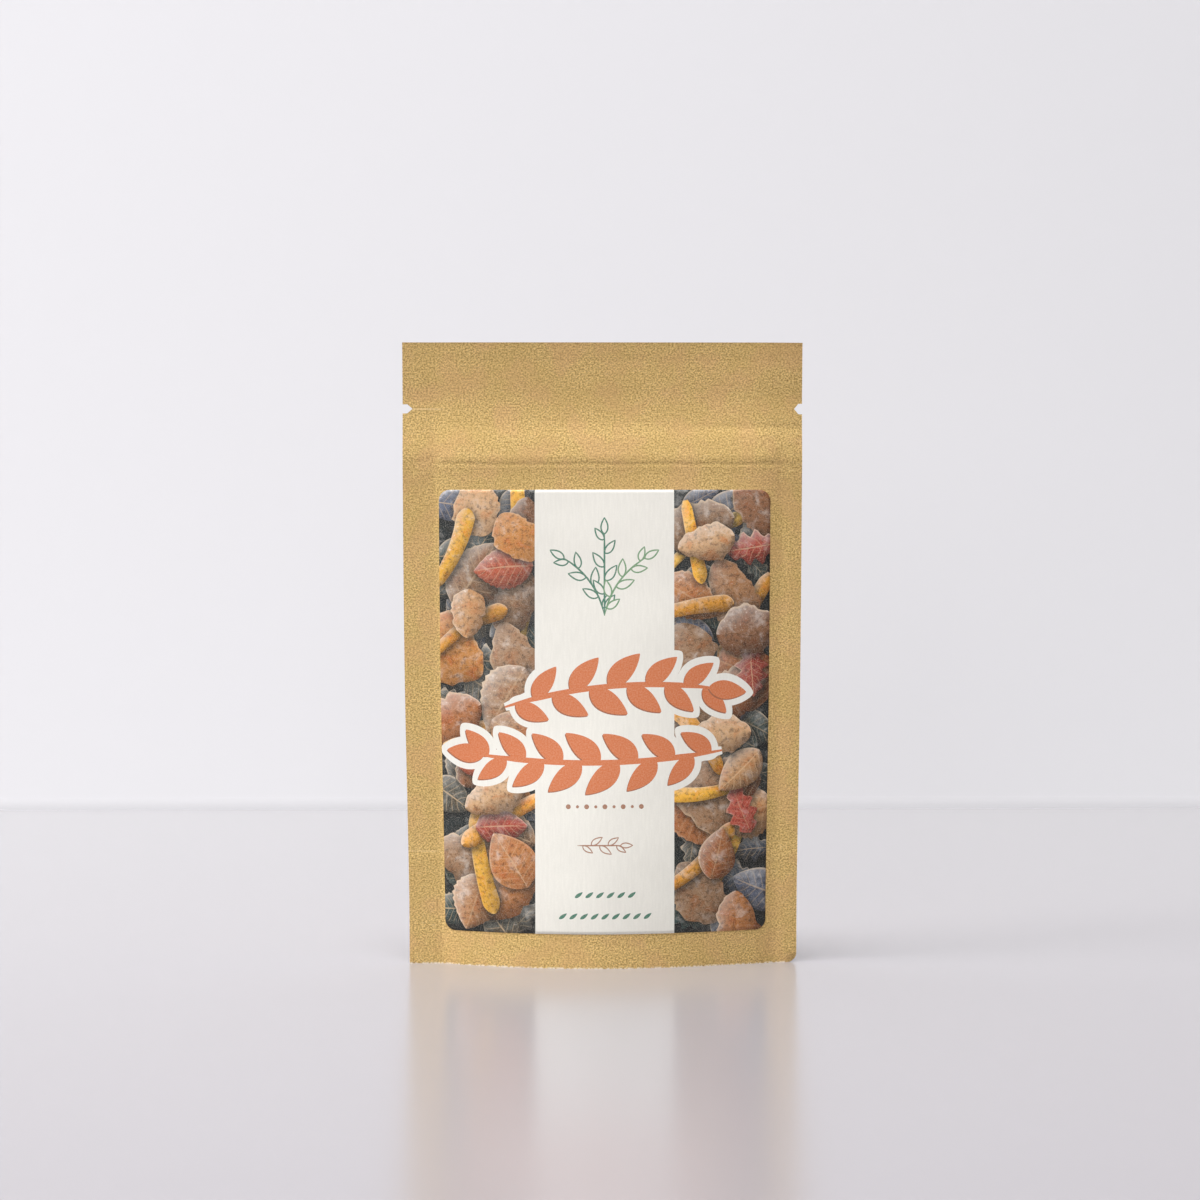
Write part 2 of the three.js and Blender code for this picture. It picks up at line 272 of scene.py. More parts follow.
def x_at(across, height):
    i = np.clip((across + HALF) / TABLE_STEP, 0, len(TABLE_ACROSS) - 1.001)
    j = np.clip(height, 0, len(TABLE_HEIGHTS) - 1.001)
    i0 = i.astype(int)
    j0 = j.astype(int)
    low = mix(X_TABLE[j0, i0], X_TABLE[j0, i0 + 1], i - i0)
    high = mix(X_TABLE[j0 + 1, i0], X_TABLE[j0 + 1, i0 + 1], i - i0)
    return mix(low, high, j - j0)


def waves(across, height, seed, length):
    """Soft unevenness of a handled sheet, mostly between -1 and 1."""
    draw = random.Random(seed)
    total = np.zeros_like(across)
    for _ in range(WAVE_COUNT):
        angle = draw.uniform(0, math.pi)
        turn = draw.uniform(0, 2 * math.pi)
        wave = 2 * math.pi / (length * draw.uniform(0.7, 1.6))
        along = across * math.cos(angle) + height * math.sin(angle)
        total = total + np.sin(wave * along + turn)
    return total / 4


def free_at(across, height):
    """1 where the sheet is free, 0 where it is sealed, and little where it lies on the zip."""
    sides = 1 - smooth(FREE_TO, 1, abs(share_at(across)))
    top = 1 - smooth(FREE_BELOW, TOP_SEAL_FROM, height)
    return sides * top * (1 - line_at(height, ZIP_HOLD))


def crinkle_at(across, height):
    """Small folds that run from the ends of the zip into the side seals."""
    total = 0
    for start, end, depth in CRINKLES:
        run = (end[0] - start[0], end[1] - start[1])
        length = math.hypot(*run)
        along = ((across - start[0]) * run[0] + (height - start[1]) * run[1]) / length
        aside = ((height - start[1]) * run[0] - (across - start[0]) * run[1]) / length
        begun = smooth(-CRINKLE_END, CRINKLE_END, along)
        left = smooth(length + CRINKLE_END, length - CRINKLE_END, along)
        total = total + depth * begun * left * bump(aside, 0, CRINKLE_HALF)
    return total


def zip_relief(across, height, crisp_from):
    """The ridge along the zip's lower edge, the crease above it on one part, and its crinkles."""
    reach = 1 - smooth(RIDGE_TO, 1, abs(share_at(across)))
    size, seed, length = ZIP_WANDER
    wander = size * waves(across, height * 0, seed, length)
    crisp = smooth(crisp_from - CRISP_BEFORE, crisp_from + CRISP_AFTER, across)
    crease = crisp * line_at(height + 0.5 * wander, ZIP_CREASE)
    return reach * line_at(height + wander, ZIP_RIDGE) + crease + crinkle_at(across, height)


def seal_relief(across, height):
    """The edges of the heat seals, pressed a little into the sheet, and the tear line."""
    share = abs(share_at(across))
    sides = line_at(across, LEFT_SEAL_LINE) + line_at(across, RIGHT_SEAL_LINE)
    fold = line_at(height, GUSSET_FOLD_LINE) * smooth(FOLD_FROM, 1, share)
    curved = line_at(height, (gusset_seal_at(across), *CURVED_SEAL_LINE))
    curved = curved * (1 - smooth(CURVED_SEAL_TO, 1, share))
    tear = line_at(height, TEAR_LINE) * smooth(*TEAR_FADE, across)
    return tear + sides + line_at(height, TOP_SEAL_LINE) + fold + curved


def lean_at(across, height):
    """How far the bag bends towards the front, and its rims and one corner away from there."""
    bow = 1 + TOP_BOW * (1 - share_at(across) ** 2) * smooth(TOP_BOW_FROM, HEIGHT, height)
    tilt = MARGIN_TILT * np.maximum(across - MARGIN_TILT_FROM, 0) ** 2
    top_lip = TOP_LIP[0] * smooth(HEIGHT - TOP_LIP[1], HEIGHT, height)
    bottom_lip = BOTTOM_LIP[0] * smooth(BOTTOM_LIP[1], 0, height)
    from_corner = np.hypot(across - HALF, height)
    curl = CORNER_CURL * np.maximum(1 - from_corner / CORNER_CURL_REACH, 0) ** 2
    size, seed, length = TOP_WAVES
    uneven = size * smooth(TOP_WAVES_FROM, HEIGHT, height) * waves(across, height * 0, seed, length)
    return curve_at(LEAN, height) * bow + tilt + top_lip + bottom_lip + curl + uneven


def depth_of(panel):
    """A panel's shape: how far the middle of its sheet stands from the seal plane at a place."""
    def depth(across, height):
        shelf = curve_at(panel["shelf"], height) * (1 - abs(share_at(across)) ** panel["shelf_power"])
        base = seat_at(across, height) + swell_at(across, height) + shelf
        uneven = sum(size * waves(across, height, seed, length) for size, seed, length in panel["waves"])
        zip_shape = zip_relief(panel["zip_side"] * across, height, panel["crisp_from"])
        relief = panel["zip_depth"] * zip_shape + seal_relief(across, height)
        return base + free_at(across, height) * uneven + relief
    return depth


front_at = depth_of(FRONT)
back_at = depth_of(BACK)


# Meshes

def sides_of(outline):
    """The sides of a closed outline, as (start, end)."""
    return list(zip(outline, outline[1:] + outline[:1]))


def turned_left(outline):
    """The outline, running with its inside on the left."""
    area = sum(start[0] * end[1] - end[0] * start[1] for start, end in sides_of(outline))
    return outline if area > 0 else outline[::-1]


def resample(outline, spacing):
    """Points along a closed outline, with its corners kept."""
    points = []
    for start, end in sides_of(turned_left(outline)):
        count = max(1, round(math.dist(start, end) / spacing))
        shares = [i / count for i in range(count)]
        points += [(mix(start[0], end[0], s), mix(start[1], end[1], s)) for s in shares]
    return points


def arc(centre, radius, start, end, count):
    """Points on an arc, the angles in degrees."""
    angles = [math.radians(mix(start, end, k / count)) for k in range(count + 1)]
    return [(centre[0] + radius * math.cos(a), centre[1] + radius * math.sin(a)) for a in angles]


def inside_grid(low, high, spacing):
    """Points of a staggered grid inside a box."""
    points = []
    rows = int((high[1] - low[1]) / (spacing * 0.87))
    columns = int((high[0] - low[0]) / spacing)
    for j in range(1, rows):
        shift = 0.25 * spacing if j % 2 else -0.25 * spacing
        for i in range(1, columns):
            across = low[0] + (high[0] - low[0]) * i / columns + shift
            points.append((across, low[1] + (high[1] - low[1]) * j / rows))
    return points


def clear_of(points, lines, margin):
    """The points that are at least a margin from every point of the lines."""
    near = {(int(x // margin), int(y // margin)) for x, y in lines}
    kept = []
    for x, y in points:
        i, j = int(x // margin), int(y // margin)
        if not any((i + a, j + b) in near for a in (-1, 0, 1) for b in (-1, 0, 1)):
            kept.append((x, y))
    return kept


def triangulate(outlines, spacing):
    """Triangles over the first outline, along the lines of them all.

    Returns the points, the triangles, and for each triangle the numbers of the outlines round it.
    """
    rings = [resample(outline, spacing) for outline in outlines]
    lines = [point for ring in rings for point in ring]
    array = np.array(rings[0])
    grid = clear_of(inside_grid(array.min(0), array.max(0), spacing), lines, spacing * 0.45)
    points = [Vector(p) for p in grid + lines]
    faces = []
    start = len(grid)
    for ring in rings:
        faces.append(list(range(start, start + len(ring))))
        start += len(ring)
    verts, _, triangles, _, _, owners = delaunay_2d_cdt(points, [], faces, 0, 1e-5, True)
    kept = [k for k, owner in enumerate(owners) if 0 in owner]
    flat = np.array([tuple(v) for v in verts])
    return flat, np.array([triangles[k] for k in kept]), [set(owners[k]) for k in kept]


def mesh_of(name, points, faces, flat, slots, smooth_faces):
    """A mesh from points in millimetres, with each one's place on the flat sheet as its UV layer."""
    mesh = bpy.data.meshes.new(name)
    mesh.from_pydata((points * MM).tolist(), [], faces)
    corner_vertex = np.zeros(len(mesh.loops), int)
    mesh.loops.foreach_get("vertex_index", corner_vertex)
    layer = mesh.uv_layers.new(name="flat")
    layer.data.foreach_set("uv", (flat / FLAT_UNIT)[corner_vertex].ravel())
    mesh.polygons.foreach_set("material_index", slots)
    mesh.polygons.foreach_set("use_smooth", smooth_faces)
    return mesh


def add_object(name, data):
    """A new object in the scene."""
    added = bpy.data.objects.new(name, data)
    bpy.context.scene.collection.objects.link(added)
    return added


def add_piece(name, mesh, materials, node):
    """The mesh as a piece that stands for a CAD node."""
    for material in materials:
        mesh.materials.append(material)
    mesh.update()
    piece = add_object(name, mesh)
    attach(piece, "root")
    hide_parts(node)


def sheet_mesh(name, flat, triangles, outer, inner, slots, crisp_rim=False):
    """A closed sheet: the triangles on its outer face, again on its inner face, and its cut edge.

    The slots are the material numbers of the outer face, the inner face and the cut edge.
    """
    used = np.unique(triangles)
    renumber = np.full(len(flat), -1)
    renumber[used] = np.arange(len(used))
    flat = flat[used]
    triangles = renumber[triangles]
    count = len(flat)
    edges = {}
    for a, b, c in triangles:
        for p, q in ((a, b), (b, c), (c, a)):
            if (q, p) in edges:
                del edges[(q, p)]
            else:
                edges[(p, q)] = True
    rim = [(q, p, p + count, q + count) for p, q in edges]
    points = [np.stack(face(flat[:, 0], flat[:, 1]), 1) for face in (outer, inner)]
    backs = triangles[:, ::-1] + count
    faces = triangles.tolist() + backs.tolist() + rim
    faces_in = 2 * len(triangles)
    numbers = np.full(len(faces), slots[2])
    numbers[:len(triangles)] = slots[0]
    numbers[len(triangles):faces_in] = slots[1]
    smooth_faces = np.arange(len(faces)) < faces_in
    flat = np.concatenate([flat, flat])
    mesh = mesh_of(name, np.concatenate(points), faces, flat, numbers, smooth_faces)
    if crisp_rim:
        borders = {tuple(sorted(pair)) for p, q in edges for pair in ((p, q), (p + count, q + count))}
        ends = np.zeros(2 * len(mesh.edges), int)
        mesh.edges.foreach_get("vertices", ends)
        sharp = [tuple(sorted(pair)) in borders for pair in ends.reshape(-1, 2).tolist()]
        mesh.attributes.new("sharp_edge", "BOOLEAN", "EDGE").data.foreach_set("value", sharp)
    return mesh


# Materials

def linear(red, green, blue):
    """A colour given by its screen values from 0 to 255."""
    def value(part):
        part = part / 255
        return part / 12.92 if part <= 0.04045 else ((part + 0.055) / 1.055) ** 2.4
    return (value(red), value(green), value(blue), 1)


class Surface:
    """A procedural material, with short calls for the nodes that the materials share."""

    def __init__(self, name, roughness, specular):
        self.material = bpy.data.materials.new(name)
        self.material.use_nodes = True
        self.tree = self.material.node_tree
        self.principled = self.tree.nodes["Principled BSDF"]
        self.principled.inputs["Roughness"].default_value = roughness
        self.principled.inputs["Specular IOR Level"].default_value = specular

    def done(self, colour, relief, distance, strength=1.0):
        """The material, with its colour and the relief that its normals follow."""
        self.put(self.principled.inputs["Base Color"], colour)
        if relief is not None:
            self.put(self.principled.inputs["Normal"], self.bump(relief, distance, strength))
        return self.material

    def add(self, kind, inputs=None, **settings):
        """A node with its settings, and its inputs linked or set."""
        node = self.tree.nodes.new(kind)
        for key, value in settings.items():
            setattr(node, key, value)
        for key, value in (inputs or {}).items():
            self.put(node.inputs[key], value)
        return node

    def put(self, socket, value):
        if isinstance(value, bpy.types.NodeSocket):
            self.tree.links.new(value, socket)
        else:
            socket.default_value = value

    def math(self, operation, *values, clamp=False):
        inputs = dict(enumerate(values))
        return self.add("ShaderNodeMath", inputs, operation=operation, use_clamp=clamp).outputs[0]

    def times(self, first, second):
        return self.math("MULTIPLY", first, second)

    def plus(self, first, second):
        return self.math("ADD", first, second)

    def minus(self, first, second):
        return self.math("SUBTRACT", first, second)

    def size(self, value):
        return self.math("ABSOLUTE", value)

    def scaled(self, vector, scale):
        return self.add("ShaderNodeVectorMath", {0: vector, 1: scale}, operation="MULTIPLY").outputs[0]

    def split(self, vector):
        return self.add("ShaderNodeSeparateXYZ", {0: vector}).outputs

    def flat(self):
        """Millimetres across and up the sheet."""
        node = self.add("ShaderNodeUVMap", uv_map="flat")
        return self.scaled(node.outputs[0], (FLAT_UNIT, FLAT_UNIT, FLAT_UNIT))

    def place(self):
        """Metres in the object's frame."""
        return self.add("ShaderNodeTexCoord").outputs["Object"]

    def attribute(self, name):
        return self.add("ShaderNodeAttribute", attribute_name=name).outputs["Vector"]

    def noise(self, vector, scale, detail=2.0, rough=0.5, distortion=0.0):
        inputs = {"Vector": vector, "Scale": scale, "Detail": detail, "Roughness": rough}
        return self.add("ShaderNodeTexNoise", inputs | {"Distortion": distortion}).outputs["Fac"]

    def ramp(self, value, low, high, start=0.0, end=1.0):
        inputs = {"Value": value, "From Min": low, "From Max": high, "To Min": start, "To Max": end}
        return self.add("ShaderNodeMapRange", inputs, interpolation_type="SMOOTHSTEP").outputs["Result"]

    def blend(self, share, first, second, mode="MIX"):
        inputs = {"Factor": share, 6: first, 7: second}
        return self.add("ShaderNodeMix", inputs, data_type="RGBA", blend_type=mode).outputs[2]

    def layer(self, below, tone, source, low, high, share, mode="MIX"):
        """A tone over a colour, by up to a share where the source passes from low to high."""
        return self.blend(self.ramp(source, low, high, 0.0, share), below, tone, mode)

    def bump(self, height, distance, strength):
        inputs = {"Height": height, "Distance": distance, "Strength": strength}
        return self.add("ShaderNodeBump", inputs).outputs["Normal"]


# Kraft paper: its pulp, fibres, clouds and specks, a painted highlight along two creases, and its frayed
# rim
KRAFT_DARK = linear(152, 121, 66)
KRAFT_LIGHT = linear(243, 208, 137)
FIBRE_LIGHT = linear(232, 202, 154)
FIBRE_DARK = linear(150, 116, 70)
RED_CLOUD = linear(212, 162, 118)
GREEN_CLOUD = linear(190, 158, 92)
SPECK = linear(96, 68, 40)
# The pale colour of the painted highlight along the creases
CREASE_HIGHLIGHT = linear(238, 208, 160)
FRAYED = linear(250, 238, 214)
# Creases along which a pale line is painted as a painted highlight, as (height, across from, across to,
# strength)
HIGHLIT_CREASES = [(NOTCH_HEIGHT - 0.1, -43, -45.5, 0.4), (GUSSET_HEIGHT, -46, -48, 0.25)]
# The groove under the zip: its height, half width and depth
GROOVE_HEIGHT = ZIP_FROM - 0.4
GROOVE_HALF = 0.9
GROOVE_DEPTH = 0.085
# The relief of smooth printed paper and cut edges, in metres
PRINT_GRAIN = 0.00004


def kraft_material():
    """Brown kraft paper: fine cloudy pulp, short level fibres, and a few dark specks."""
    n = Surface("kraft_paper", 0.7, 0.3)
    where = n.flat()
    across, height, _ = n.split(where)
    pulp = n.noise(n.scaled(where, (0.85, 1.0, 1.0)), 2.3, 4.0, 0.7)
    fibres = n.noise(n.scaled(where, (0.22, 1.0, 1.0)), 2.2, 2.0, 0.6, 0.5)
    cloud = n.noise(where, 0.06, 3.0, 0.55)
    hue = n.noise(where, 0.11, 2.0, 0.5)
    colour = n.blend(n.ramp(pulp, 0.34, 0.66), KRAFT_DARK, KRAFT_LIGHT)
    colour = n.layer(colour, FIBRE_LIGHT, fibres, 0.58, 0.72, 0.3)
    colour = n.layer(colour, FIBRE_DARK, fibres, 0.42, 0.28, 0.3)
    colour = n.layer(colour, RED_CLOUD, hue, 0.42, 0.66, 0.3)
    colour = n.layer(colour, GREEN_CLOUD, cloud, 0.42, 0.62, 0.22)
    inputs = {"Vector": n.scaled(where, (0.55, 1.0, 1.0)), "Scale": 0.3}
    specks = n.add("ShaderNodeTexVoronoi", inputs, feature="F1")
    rare = n.math("GREATER_THAN", n.split(specks.outputs["Color"])[0], 0.72)
    speck = n.times(n.ramp(specks.outputs["Distance"], 0.075, 0.03), rare)
    colour = n.blend(n.times(speck, 0.55), colour, SPECK)
    # A pale line painted along each crease as a painted highlight
    for line, start, end, strength in HIGHLIT_CREASES:
        beside = n.size(n.minus(height, line))
        crease = n.times(n.ramp(beside, 0.3, 0.1, 0.0, strength), n.ramp(across, start, end))
        colour = n.blend(crease, colour, CREASE_HIGHLIGHT)
    tufts = n.ramp(n.noise(where, 1.2, 2.0, 0.6), 0.42, 0.58, 0.0, 0.75)
    colour = n.blend(n.times(n.ramp(height, 0.5, 0.1), tufts), colour, FRAYED)
    grain = n.times(n.plus(pulp, n.times(fibres, 0.5)), 0.012)
    wander = n.times(n.noise(n.scaled(where, (0.05, 0.02, 1.0)), 1.0, 2.0), 1.2)
    beside = n.size(n.minus(n.plus(height, wander), GROOVE_HEIGHT))
    from_middle = n.size(n.minus(across, INSIDE_MIDDLE))
    inside = n.times(n.ramp(from_middle, INSIDE_HALF, INSIDE_HALF - 2), GROOVE_DEPTH)
    groove = n.times(n.ramp(beside, GROOVE_HALF, 0.05), inside)
    return n.done(colour, n.minus(grain, groove), MM)


def film_material():
    """The pouch's inner film: a pale, slightly shiny plastic laminate."""
    n = Surface("inner_film", 0.32, 0.5)
    where = n.flat()
    colour = n.blend(n.noise(where, 0.3, 3.0, 0.6), linear(206, 186, 150), linear(222, 206, 176))
    return n.done(colour, n.noise(where, 1.2), 0.00005, 0.3)


def cut_edge_material(name, light, dark):
    """The cut edge of a paper sheet."""
    n = Surface(name, 0.85, 0.2)
    grain = n.noise(n.flat(), 3.0, 2.0, 0.6)
    return n.done(n.blend(grain, dark, light), grain, PRINT_GRAIN, 0.4)


def plastic_material():
    """The zip's translucent white plastic."""
    n = Surface("zip_plastic", 0.35, 0.5)
    place = n.place()
    colour = n.blend(n.noise(place, 300, 2.0, 0.5), linear(222, 218, 208), linear(236, 233, 226))
    return n.done(colour, n.noise(place, 1500), 0.00003, 0.3)


def powder_material():
    """Dry ground mushroom: fine grains of several browns."""
    n = Surface("powder", 0.95, 0.1)
    place = n.place()
    grains = n.noise(place, 2600, 4.0, 0.7)
    clumps = n.noise(place, 180, 3.0, 0.6)
    colour = n.blend(n.ramp(grains, 0.35, 0.65), linear(104, 76, 46), linear(188, 156, 106))
    colour = n.blend(n.times(clumps, 0.4), colour, linear(132, 100, 62))
    return n.done(colour, n.plus(n.times(grains, 0.35), clumps), 0.0008, 0.8)


# The pouch's sheets

KRAFT = kraft_material()
FILM = film_material()
# The kraft's cut edge: its own brown, darkened further as painted shade so the bottom edge shows a dark
# line
SHADED_KRAFT_EDGE = cut_edge_material("kraft_cut_edge_painted_shade", linear(124, 94, 58), linear(82, 60, 38))


def panel_outline():
    """The panel's flat outline, with its notches and its rounded lower right corner."""
    points = [(-HALF, 0), (HALF - CORNER_RADIUS, 0)]
    points += arc((HALF - CORNER_RADIUS, CORNER_RADIUS), CORNER_RADIUS, -90, 0, 8)[1:]
    for side, depth, straight, tall in NOTCHES:
        # up the right side, then down the left
        half = side * tall / 2
        points += [
            (side * HALF, NOTCH_HEIGHT - half),
            (side * (HALF - straight), NOTCH_HEIGHT - half),
            (side * (HALF - depth), NOTCH_HEIGHT),
            (side * (HALF - straight), NOTCH_HEIGHT + half),
            (side * HALF, NOTCH_HEIGHT + half),
        ]
        if side > 0:
            points += [(HALF, HEIGHT), (-HALF, HEIGHT)]
    return points


def facing(depth, side, offset):
    """Places a flat point on the face of a panel: side -1 for the front and 1 for the back."""
    def place(across, height):
        y = side * (depth(across, height) + offset) - lean_at(across, height)
        return x_at(across, height), y, height
    return place


def make_panel(name, node, depth, side, spacing):
    flat, triangles, _ = triangulate([panel_outline()], spacing)
    if side > 0:
        triangles = triangles[:, ::-1]
    outer = facing(depth, side, PAPER / 2)
    inner = facing(depth, side, -PAPER / 2)
    mesh = sheet_mesh(name, flat, triangles, outer, inner, (0, 1, 2), crisp_rim=True)
    add_piece(name, mesh, [KRAFT, FILM, SHADED_KRAFT_EDGE], node)


# How far the gusset sags between its seal and its fold, and the spread that it takes to do so
GUSSET_SAG = 0.9
GUSSET_SAG_SPREAD = 8
# Rows from the gusset's rim to its seal, from there to its fold, and columns between the side seals
GUSSET_LOW_ROWS = 14
GUSSET_HIGH_ROWS = 25
GUSSET_COLUMNS = 97


def gusset_profile(across, along, panel_at):
    """(distance from the seal plane, height) along a leaf, from its rim at 0 to its fold at 1.

    A leaf goes up with its panel to the curved seal, and from there in to the fold, sagging a
    little under the powder.
    """
    seal_top = gusset_seal_at(across)
    beside = SEAT_BELOW - SEAT
    spread = np.maximum(panel_at(across, seal_top) - beside - SEAT, 0)
    fold_top = seal_top + np.sqrt(np.maximum((GUSSET_HEIGHT - seal_top) ** 2 - spread ** 2, 0))
    low_share = np.clip(along * 2, 0, 1)
    high_share = np.clip(along * 2 - 1, 0, 1)
    height = np.where(along < 0.5, seal_top * low_share, mix(seal_top, fold_top, high_share))
    with_panel = panel_at(across, np.minimum(height, seal_top)) - beside
    sag = GUSSET_SAG * np.sin(math.pi * high_share) * np.minimum(spread / GUSSET_SAG_SPREAD, 1)
    inward = mix(panel_at(across, seal_top) - beside, SEAT, high_share)
    distance = np.where(along < 0.5, with_panel, inward)
    return distance, np.where(along < 0.5, height, height - sag)


def gusset_columns():
    """Places across the gusset, closer at the side seals and round the cut corner."""
    left = [-HALF, -HALF + 2, -HALF + 4, -HALF + 6.5]
    middle = np.linspace(-HALF + LEFT_SEAL, HALF - RIGHT_SEAL, GUSSET_COLUMNS).tolist()
    corner = [HALF - CORNER_RADIUS * (1 - math.sin(math.radians(a))) for a in range(0, 91, 15)]
    return np.array(left + middle + [HALF - 4] + corner)


def make_gusset():
    """The folded bottom strip, kraft outside and film towards the powder."""
    columns = gusset_columns()
    low = np.linspace(0, 0.5, GUSSET_LOW_ROWS)
    high = np.linspace(0.5, 1, GUSSET_HIGH_ROWS)[1:]
    along = np.concatenate([low, high])
    strip = np.concatenate([along, 2 - along[-2::-1]])
    reach = np.clip(columns - (HALF - CORNER_RADIUS), 0, CORNER_RADIUS)
    lift = CORNER_RADIUS - np.sqrt(CORNER_RADIUS ** 2 - reach ** 2)
    points = []
    flat = []
    for face in (1, -1):
        for s in strip:
            leaf = min(s, 2 - s)
            side = -1 if s <= 1 else 1
            panel_at = front_at if side < 0 else back_at
            distance, height = gusset_profile(columns, np.full_like(columns, leaf), panel_at)
            offset = face * PAPER / 2
            if leaf == 1:
                distance = np.zeros_like(columns)
                height = height - offset
                offset = 0
            z = np.maximum(height, lift)
            # the strip's kraft face looks down, out of the pouch, away from the panels' inner faces
            y = side * (distance - offset) - lean_at(columns, z)
            points.append(np.stack([x_at(columns, z), y, z], 1))
            flat.append(np.stack([columns, np.full_like(columns, s * GUSSET_HEIGHT)], 1))
    width = len(columns)
    rows = len(strip)
    other = rows * width
    cells = [j * width + i for j in range(rows - 1) for i in range(width - 1)]
    rim = [(a, a + width) for j in range(rows - 1) for a in (j * width, (j + 1) * width - 1)]
    rim += [(a, a + 1) for i in range(width - 1) for a in (i, (rows - 1) * width + i)]
    faces = [(a + width, a + width + 1, a + 1, a) for a in cells]
    faces += [tuple(corner + other for corner in face[::-1]) for face in faces]
    for a, b in rim:
        quad = (a, b, b + other, a + other)
        onward = a < width if b == a + 1 else a % width > 0
        faces.append(quad if onward else quad[::-1])
    slots = np.minimum(np.arange(len(faces)) // len(cells), 2)
    flat = np.concatenate(flat)
    mesh = mesh_of("gusset_paper", np.concatenate(points), faces, flat, slots, slots < 2)
    add_piece("gusset_paper", mesh, [KRAFT, FILM, SHADED_KRAFT_EDGE], "bottom_gusset")


# The label's print: fallen leaves on both sides of a plain stripe, and leafy ornaments on it

BROWNS = [
    (188, 122, 66), (168, 106, 60), (206, 156, 106), (142, 98, 66), (218, 174, 128), (178, 128, 84),
    (204, 138, 68), (158, 122, 90),
]
DARKS = [(74, 84, 96), (66, 78, 74), (96, 104, 122), (56, 76, 74), (92, 92, 84)]
GOLDS = [(240, 180, 58), (228, 158, 48), (246, 196, 84)]
RUSTS = [(176, 76, 58), (190, 96, 66)]
TERRACOTTA = (206, 112, 62)
TERRACOTTA_SHADE = (150, 82, 50)
GREEN = (48, 118, 98)
PALE_GREEN = (104, 150, 112)
BROWN_INK = (158, 112, 88)
GROUND = (38, 50, 52)
# The layers of leaves over each side panel, the lowest first:
# (columns, rows, kinds, colours, shortest and longest, width by length, bend)
LITTER = [
    (3, 12, ["oak", "birch", "beech"], DARKS, (11, 17), (0.5, 0.75), 0.14),
    (1, 4, ["blade"], GOLDS, (24, 32), (0.16, 0.21), 0.4),
    (2, 7, ["ruffled", "ruffled", "birch"], BROWNS, (16, 23), (0.62, 0.85), 0.12),
    (1, 5, ["blade"], GOLDS, (21, 31), (0.17, 0.24), 0.4),
    (1, 3, ["oak", "birch"], RUSTS, (13, 17), (0.6, 0.75), 0.12),
    (1, 5, ["ruffled", "beech"], BROWNS, (13, 19), (0.6, 0.8), 0.12),
]
# The light that the printed leaves are shaded by, across and up, and where their shadows fall
PRINT_LIGHT = (-0.6, 0.8)
SHADOW_SHIFT = (-0.5, 0.7)
SHADOW_DARK = 0.8
SHADOW_SOFT = 1.1
SHADOW_REACH = 8
# Steps along a printed stem
STEM_STEPS = 30


class Leaf:
    """A leaf in the label's plane: a bent midrib with a half width at each share of its length."""

    def __init__(self, foot, angle, length, width, bend, kind, colour, seed=0):
        self.foot = np.array(foot, float)
        self.heading = (math.cos(angle), math.sin(angle))
        self.length = length
        self.half = width / 2
        self.bend = bend
        self.kind = kind
        self.colour = colour
        draw = random.Random(seed)
        self.turns = [[draw.uniform(0, 2 * math.pi) for _ in range(5)] for _ in range(2)]

    def half_at(self, share, side):
        """The half width at a share of the length, on the side 1 (left) or -1."""
        share = np.clip(share, 0, 1)
        if self.kind == "blade":
            return self.half * (1 - 0.3 * share) * np.minimum(1, 10 * share * (1.02 - share)) ** 0.5 + 0.01
        form = np.sin(math.pi * share ** 0.8) ** 0.8
        if self.kind == "birch":
            form = form * (1 + 0.1 * np.abs(((share * 10) % 1) - 0.5) * 2)
        if self.kind == "oak":
            form = form * (0.8 + 0.22 * np.cos(2 * math.pi * (share * 4.2 - 0.4)))
        if self.kind == "ruffled":
            form = np.sin(math.pi * share ** 0.85) ** 0.62
            ruffle = 0
            for k, (left, right) in enumerate(zip(*self.turns)):
                phase = np.where(np.asarray(side) > 0, left, right)
                ruffle = ruffle + np.sin(2 * math.pi * share * (1.3 + 2.1 * k) + phase) / (1 + 0.8 * k)
            form = form * (1 + 0.09 * ruffle)
        return self.half * form + 0.01

    def spine(self, share):
        return self.bend * self.length * share * share

    def outline(self, steps=30, grow=0.0):
        """The outline, widened all round by a margin."""
        shares = [0.5 - 0.5 * math.cos(math.pi * k / steps) for k in range(steps + 1)]
        sides = []
        for sign in (1, -1):
            side = []
            for share in shares:
                along = share * self.length + grow * (2 * share - 1)
                out = float(self.half_at(share, sign)) + grow * math.sin(math.pi * share) ** 0.5
                side.append((along, float(self.spine(share)) + sign * max(out, 0.01)))
            sides.append(side)
        ring = sides[0] + sides[1][::-1]
        c, s = self.heading
        return [(self.foot[0] + a * c - b * s, self.foot[1] + a * s + b * c) for a, b in ring]

    def local(self, points):
        """(share along, share across, half width there) of points in the label's plane."""
        c, s = self.heading
        moved = points - self.foot
        along = (moved[:, 0] * c + moved[:, 1] * s) / self.length
        beside = -moved[:, 0] * s + moved[:, 1] * c - self.spine(np.clip(along, 0, 1))
        half = self.half_at(along, beside)
        return along, beside / half, half

    def lit(self, along, across):
        """How much a cupped leaf's surface turns to the light, from -1 to 1."""
        c, s = self.heading
        x, y = PRINT_LIGHT
        return 0.8 * across * (-s * x + c * y) + 0.8 * (along - 0.5) * (c * x + s * y)


def strewn(draw, low, high, columns, rows, kinds, colours, lengths, ratio, bend):
    """One leaf in each cell of a loose grid over a side panel, in a shuffled order."""
    leaves = []
    for j in range(rows):
        for i in range(columns):
            across = mix(low, high, (i + draw.uniform(0.15, 0.85)) / columns)
            height = mix(LABEL_BOTTOM, LABEL_TOP, (j + draw.uniform(0.1, 0.9)) / rows)
            length = draw.uniform(*lengths)
            angle = draw.uniform(0, 2 * math.pi)
            foot = (across - 0.5 * length * math.cos(angle), height - 0.5 * length * math.sin(angle))
            leaves.append(Leaf(
                foot, angle, length, length * draw.uniform(*ratio), draw.uniform(-bend, bend),
                draw.choice(kinds), draw.choice(colours), draw.randrange(10 ** 6),
            ))
    draw.shuffle(leaves)
    return leaves


